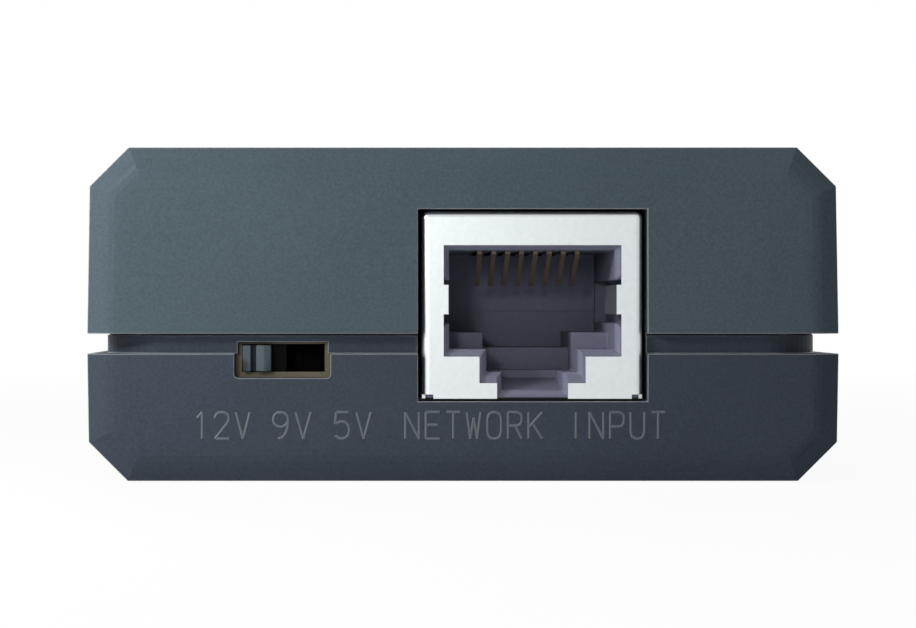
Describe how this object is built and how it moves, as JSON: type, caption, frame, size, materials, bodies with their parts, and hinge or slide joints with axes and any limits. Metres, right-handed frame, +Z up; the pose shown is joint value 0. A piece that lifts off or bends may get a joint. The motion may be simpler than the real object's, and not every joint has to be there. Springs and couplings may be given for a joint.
{
  "type": "poe splitter",
  "caption": "Slim two-shell plastic box that splits power from data, with a network port at each end, a DC outlet and a recessed voltage slide switch.",
  "frame": {"origin": "centre of the case's underside", "axes": "+X to the right of the input face, +Y from the input face to the outlet face, +Z up"},
  "size_m": [0.054, 0.0808, 0.024],
  "materials": {
    "case_plastic": "fine satin texture",
    "plated_steel": "bright tin plate",
    "black_plastic": "moulded",
    "gold_plate": "gold flash",
    "slider_plastic": "moulded",
    "laminate": "green solder mask",
    "clear_plastic": "clear",
    "epoxy": "moulded epoxy",
    "ferrite": "sintered",
    "tape": "polyester tape",
    "copper_wire": "enamelled",
    "can_sleeve": "shrink sleeve",
    "blue_coat": "dipped",
    "screw_steel": "black zinc",
    "lamp": "clear"
  },
  "bodies": {
    "case": {"top_cover": "case_plastic", "bottom_cover": "case_plastic", "case_screws": "screw_steel", "circuit_board": "laminate", "input_jack_shield": "plated_steel", "input_jack_housing": "black_plastic", "input_jack_carrier": "black_plastic", "input_jack_contacts": "gold_plate", "output_jack_shield": "plated_steel", "output_jack_housing": "black_plastic", "output_jack_carrier": "black_plastic", "output_jack_contacts": "gold_plate", "dc_jack_housing": "black_plastic", "dc_jack_pin": "plated_steel", "dc_jack_spring": "plated_steel", "switch_frame": "plated_steel", "switch_base": "black_plastic", "switch_terminals": "plated_steel", "power_led": "lamp", "light_pipe": "clear_plastic", "transformer_core": "ferrite", "transformer_bobbin": "black_plastic", "transformer_winding": "tape", "line_transformer": "epoxy", "line_transformer_leads": "plated_steel", "safety_capacitor": "blue_coat", "choke_core": "ferrite", "choke_winding": "copper_wire", "input_capacitor": "can_sleeve", "output_capacitors": "can_sleeve", "controller_chip": "epoxy", "optocoupler": "epoxy", "power_transistor": "epoxy", "output_diode": "epoxy", "bridge_rectifiers": "epoxy", "chip_resistors": "epoxy"},
    "switch_slider": {"switch_knob": "slider_plastic", "switch_wiper": "gold_plate"}
  },
  "joints": [
    {"name": "voltage_switch", "type": "slide", "parent": "case", "child": "switch_slider", "axis": [1, 0, 0], "range_m": [0, 0.0037]}
  ]
}
